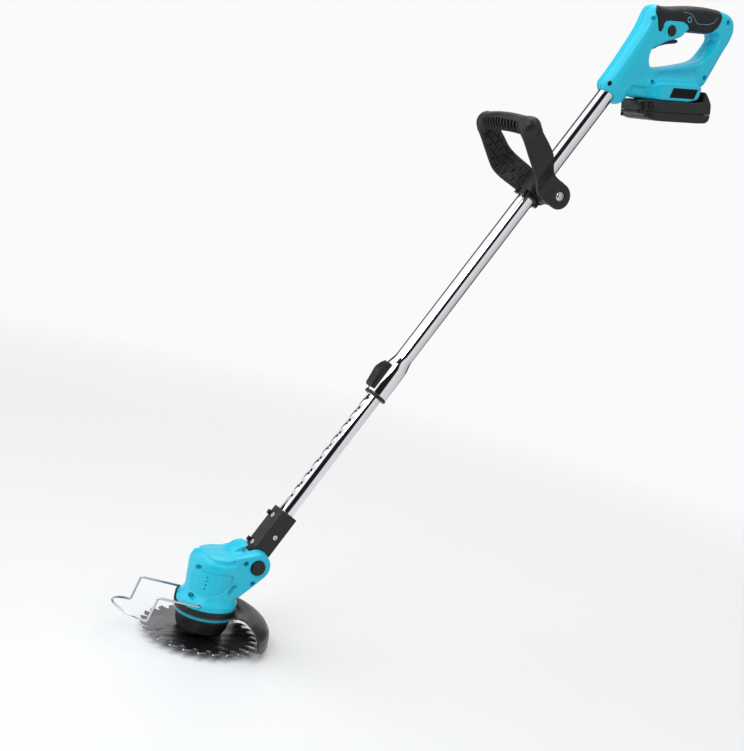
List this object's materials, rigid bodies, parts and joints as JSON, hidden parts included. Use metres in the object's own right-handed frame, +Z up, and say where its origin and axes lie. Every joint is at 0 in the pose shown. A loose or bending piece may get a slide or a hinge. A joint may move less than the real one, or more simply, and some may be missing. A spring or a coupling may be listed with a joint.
{
  "type": "cordless lawn edger",
  "caption": "Long-handled cordless lawn edger with a round saw blade, tilting head, telescoping chrome tubes, loop handle and rear grip with a slide-on battery.",
  "frame": {"origin": "centre of the spindle's lower end face", "axes": "+Z up along the spindle, +X back towards the user, -Y the left side"},
  "size_m": [0.6904, 0.1492, 0.9435],
  "materials": {
    "cyan_shell": "satin moulded",
    "black_plastic": "fine texture",
    "charcoal_plastic": "fine texture",
    "grey_plastic": "satin",
    "soft_grip": "matt",
    "chrome_tube": "polished",
    "chrome_wire": "polished",
    "screw_steel": "zinc plated",
    "blade_steel": "radially ground",
    "carbide": "ground",
    "machined_steel": "turned",
    "bronze": "sintered",
    "magnet": "sintered",
    "red_wire": "smooth",
    "black_wire": "smooth",
    "cell_wrap": "shrink film",
    "circuit": "lacquered",
    "label_black": "gloss"
  },
  "bodies": {
    "handle": {"upper_tube": "chrome_tube", "guide_bush": "black_plastic", "lock_ring": "black_plastic", "lock_housing": "black_plastic", "upper_cable": "black_wire", "handle_shell_left": "cyan_shell", "handle_shell_right": "cyan_shell", "soft_grip": "soft_grip", "handle_screws": "screw_steel", "switch_body": "charcoal_plastic", "terminal_block": "black_plastic", "label_plates": "label_black"},
    "lower_pole": {"lower_tube": "chrome_tube", "tube_end_bush": "black_plastic", "lower_cable": "black_wire", "tube_bracket": "charcoal_plastic", "bracket_screws": "screw_steel"},
    "cutting_head": {"head_shell_left": "cyan_shell", "head_shell_right": "cyan_shell", "head_screws": "screw_steel", "motor_can": "machined_steel", "motor_magnets": "magnet", "motor_end_cap": "black_plastic", "motor_brushes": "magnet", "motor_bushes": "bronze", "motor_plate": "machined_steel", "motor_leads": "red_wire", "bearing_outer_race": "machined_steel", "hub_skirt": "black_plastic", "collar_ring": "cyan_shell", "collar_band": "black_plastic", "blade_guard": "grey_plastic", "hub_screws": "screw_steel", "pivot_pin": "machined_steel", "pivot_spring": "screw_steel"},
    "blade_drive": {"motor_rotor": "machined_steel", "spindle": "machined_steel", "bearing_inner_race": "machined_steel", "bearing_balls": "machined_steel", "drive_flange": "machined_steel", "blade": "blade_steel", "tooth_tips": "carbide", "blade_washer": "machined_steel", "blade_nut": "screw_steel"},
    "wire": {"wire_guard": "chrome_wire"},
    "tilt_button": {"pivot_button": "black_plastic"},
    "lock_lever": {"lock_slider": "black_plastic"},
    "lock_bolt": {"lock_pin": "screw_steel"},
    "loop_sleeve": {"loop_liner": "charcoal_plastic"},
    "loop_clamp": {"clamp_saddle": "charcoal_plastic"},
    "loop": {"loop_handle": "charcoal_plastic", "loop_bolt": "screw_steel", "loop_nut": "screw_steel"},
    "trigger_body": {"trigger": "black_plastic"},
    "lock_off": {"lock_off_button": "black_plastic"},
    "battery": {"battery_top": "black_plastic", "battery_tray": "black_plastic", "battery_cells": "cell_wrap", "battery_board": "circuit"},
    "battery_button": {"battery_release": "charcoal_plastic"}
  },
  "joints": [
    {"name": "telescope", "type": "slide", "parent": "handle", "child": "lower_pole", "axis": [0.454, 0, 0.891], "range_m": [-0.06, 0.16]},
    {"name": "head_tilt", "type": "hinge", "parent": "lower_pole", "child": "cutting_head", "pos_m": [0.046, 0, 0.105], "axis": [0, 1, 0], "range_deg": [-60, 8]},
    {"name": "blade_spin", "type": "hinge", "parent": "cutting_head", "child": "blade_drive", "pos_m": [0, 0, 0], "axis": [0, 0, 1], "continuous": true},
    {"name": "wire_guard_flip", "type": "hinge", "parent": "cutting_head", "child": "wire", "pos_m": [-0.022, 0, 0.052], "axis": [0, 1, 0], "range_deg": [0, 90]},
    {"name": "tilt_button_press", "type": "slide", "parent": "cutting_head", "child": "tilt_button", "axis": [0, 1, 0], "range_m": [0, 0.003], "deforming": ["pivot_spring"]},
    {"name": "length_lock", "type": "slide", "parent": "handle", "child": "lock_lever", "axis": [0.454, 0, 0.891], "range_m": [0, 0.004]},
    {"name": "lock_bolt_lift", "type": "slide", "parent": "handle", "child": "lock_bolt", "axis": [-0.891, 0, 0.454], "range_m": [0, 0.0015]},
    {"name": "loop_slide", "type": "slide", "parent": "handle", "child": "loop_sleeve", "axis": [0.454, 0, 0.891], "range_m": [-0.1, 0.03], "stiffness_N_per_m": 3000},
    {"name": "loop_swivel", "type": "hinge", "parent": "loop_sleeve", "child": "loop_clamp", "pos_m": [0.32611, 0, 0.65475], "axis": [0.454, 0, 0.891], "range_deg": [-60, 60], "stiffness_Nm_per_rad": 10},
    {"name": "loop_tilt", "type": "hinge", "parent": "loop_clamp", "child": "loop", "pos_m": [0.34839, 0, 0.6434], "axis": [0, 1, 0], "range_deg": [-20, 40], "stiffness_Nm_per_rad": 20},
    {"name": "trigger_pull", "type": "hinge", "parent": "handle", "child": "trigger_body", "pos_m": [0.44983, 0, 0.87315], "axis": [0, -1, 0], "range_deg": [0, 7]},
    {"name": "lock_off_press", "type": "slide", "parent": "handle", "child": "lock_off", "axis": [0, 1, 0], "range_m": [0, 0.004]},
    {"name": "battery_slide", "type": "slide", "parent": "handle", "child": "battery", "axis": [0.9799, 0, 0.1994], "range_m": [0, 0.1]},
    {"name": "battery_button_press", "type": "slide", "parent": "battery", "child": "battery_button", "axis": [-0.9799, 0, -0.1994], "range_m": [0, 0.002]}
  ],
  "couplings": [
    {"joint": "lock_bolt_lift", "follows": "length_lock", "ratio": 0.375}
  ]
}
